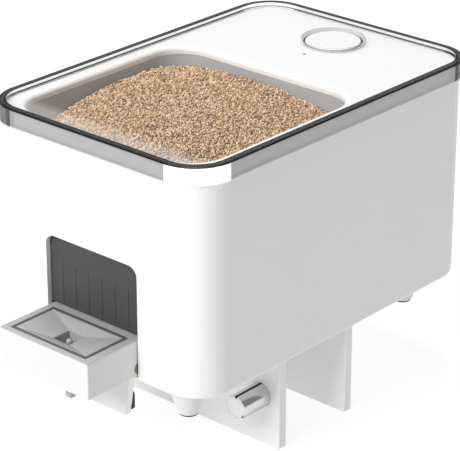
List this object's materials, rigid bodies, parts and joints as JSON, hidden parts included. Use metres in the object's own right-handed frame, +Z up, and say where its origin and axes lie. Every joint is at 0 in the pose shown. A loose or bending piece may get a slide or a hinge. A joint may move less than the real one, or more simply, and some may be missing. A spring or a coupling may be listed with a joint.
{
  "type": "automatic pet feeder",
  "caption": "Clamp-on aquarium feeder: clear-lidded pellet hopper over a motor-driven metering drawer, with a one-touch feed button and two thumbscrew clamp jaws.",
  "frame": {"origin": "rim seat: on the underside of the base plate, on the middle plane, midway between the two clamp jaws", "axes": "+X to the right seen from the front, +Y from the drawer end to the button end, +Z up"},
  "size_m": [0.08, 0.1358, 0.0932],
  "materials": {
    "white_gloss_plastic": "glossy moulded",
    "button_plastic": "satin gloss moulded",
    "drawer_plastic": "satin gloss moulded",
    "funnel_plastic": "fine matt moulded",
    "hopper_plastic": "smooth matt moulded",
    "clear_lid_plastic": "clear, faintly smoked",
    "dark_silicone": "matt",
    "black_rubber": "matt",
    "chromed_metal": "polished",
    "cap_plastic": "fine matt",
    "brass": "machined",
    "steel": "zinc plated",
    "circuit_board": "solder mask",
    "black_plastic": "moulded",
    "gear_nylon": "natural nylon",
    "clear_light_pipe": "clear rod over a dark board",
    "dome_silicone": "soft, translucent",
    "battery_wrap": "shrink film"
  },
  "bodies": {
    "housing": {"base_plate": "white_gloss_plastic", "base_screws": "steel", "battery_cell": "battery_wrap", "battery_pad": "dome_silicone", "bearing_bush": "brass", "bearing_post": "black_plastic", "board_components": "black_plastic", "board_screws": "steel", "bracket_screw": "steel", "button_bezel": "button_plastic", "button_dome": "dome_silicone", "button_switch": "black_plastic", "casing": "white_gloss_plastic", "charge_socket": "steel", "circuit_board": "circuit_board", "curtain_rivets": "steel", "curtain_strip": "steel", "foot_front_left": "white_gloss_plastic", "foot_front_right": "white_gloss_plastic", "foot_rear_left": "white_gloss_plastic", "foot_rear_right": "white_gloss_plastic", "foot_tips": "black_rubber", "front_jaw": "white_gloss_plastic", "gear_motor": "steel", "hopper_basin": "hopper_plastic", "jaw_screws": "steel", "lid_seal": "dark_silicone", "locating_tab": "white_gloss_plastic", "motor_bracket": "black_plastic", "position_switches": "black_plastic", "rail_left": "black_plastic", "rail_right": "black_plastic", "rear_jaw": "white_gloss_plastic", "rear_jaw_pad": "black_rubber", "socket_board": "circuit_board", "socket_stand": "black_plastic", "status_light": "clear_light_pipe", "tab_cushion": "black_rubber", "tab_screws": "steel", "thread_inserts": "brass", "top_deck": "white_gloss_plastic", "wiper_curtain": "dark_silicone"},
    "lid": {"lid": "clear_lid_plastic"},
    "button": {"button": "button_plastic"},
    "drawer": {"drawer": "drawer_plastic", "drawer_gasket": "dark_silicone", "funnel_insert": "funnel_plastic", "drop_spout": "funnel_plastic", "drawer_rack": "gear_nylon", "detent_sleeves": "brass", "detent_plungers": "steel"},
    "valve": {"valve_stem": "funnel_plastic"},
    "pinion": {"drive_pinion": "gear_nylon", "motor_shaft": "steel"},
    "clamp_pad_left": {"pressure_pad_left": "black_rubber"},
    "clamp_pad_right": {"pressure_pad_right": "black_rubber"},
    "clamp_screw_left": {"thumbscrew_left": "chromed_metal", "thumbscrew_cap_left": "cap_plastic"},
    "clamp_screw_right": {"thumbscrew_right": "chromed_metal", "thumbscrew_cap_right": "cap_plastic"}
  },
  "joints": [
    {"name": "lid_lift", "type": "slide", "parent": "housing", "child": "lid", "axis": [0, 0, 1], "range_m": [0, 0.03]},
    {"name": "button_press", "type": "slide", "parent": "housing", "child": "button", "axis": [0, 0, -1], "range_m": [0, 0.0006], "stiffness_N_per_m": 1500, "deforming": ["button_dome"]},
    {"name": "drawer_slide", "type": "slide", "parent": "housing", "child": "drawer", "axis": [0, 1, 0], "range_m": [0, 0.0195]},
    {"name": "valve_lift", "type": "slide", "parent": "drawer", "child": "valve", "axis": [0, 0, 1], "range_m": [0, 0.0012]},
    {"name": "pinion_spin", "type": "hinge", "parent": "housing", "child": "pinion", "pos_m": [0, -0.009, 0.011], "axis": [1, 0, 0], "range_deg": [0, 233]},
    {"name": "clamp_feed_left", "type": "slide", "parent": "housing", "child": "clamp_pad_left", "axis": [0, 1, 0], "range_m": [0, 0.0096]},
    {"name": "thumbscrew_left_turn", "type": "hinge", "parent": "clamp_pad_left", "child": "clamp_screw_left", "pos_m": [-0.0313, -0.0142, -0.0118], "axis": [0, 1, 0], "range_deg": [0, 4321]},
    {"name": "clamp_feed_right", "type": "slide", "parent": "housing", "child": "clamp_pad_right", "axis": [0, 1, 0], "range_m": [0, 0.0096]},
    {"name": "thumbscrew_right_turn", "type": "hinge", "parent": "clamp_pad_right", "child": "clamp_screw_right", "pos_m": [0.0313, -0.0142, -0.0118], "axis": [0, 1, 0], "range_deg": [0, 4321]}
  ],
  "couplings": [
    {"joint": "valve_lift", "follows": "drawer_slide", "ratio": 0.061539},
    {"joint": "pinion_spin", "follows": "drawer_slide", "rad_per_m": 208.33},
    {"joint": "thumbscrew_left_turn", "follows": "clamp_feed_left", "rad_per_m": 7854},
    {"joint": "thumbscrew_right_turn", "follows": "clamp_feed_right", "rad_per_m": 7854}
  ]
}
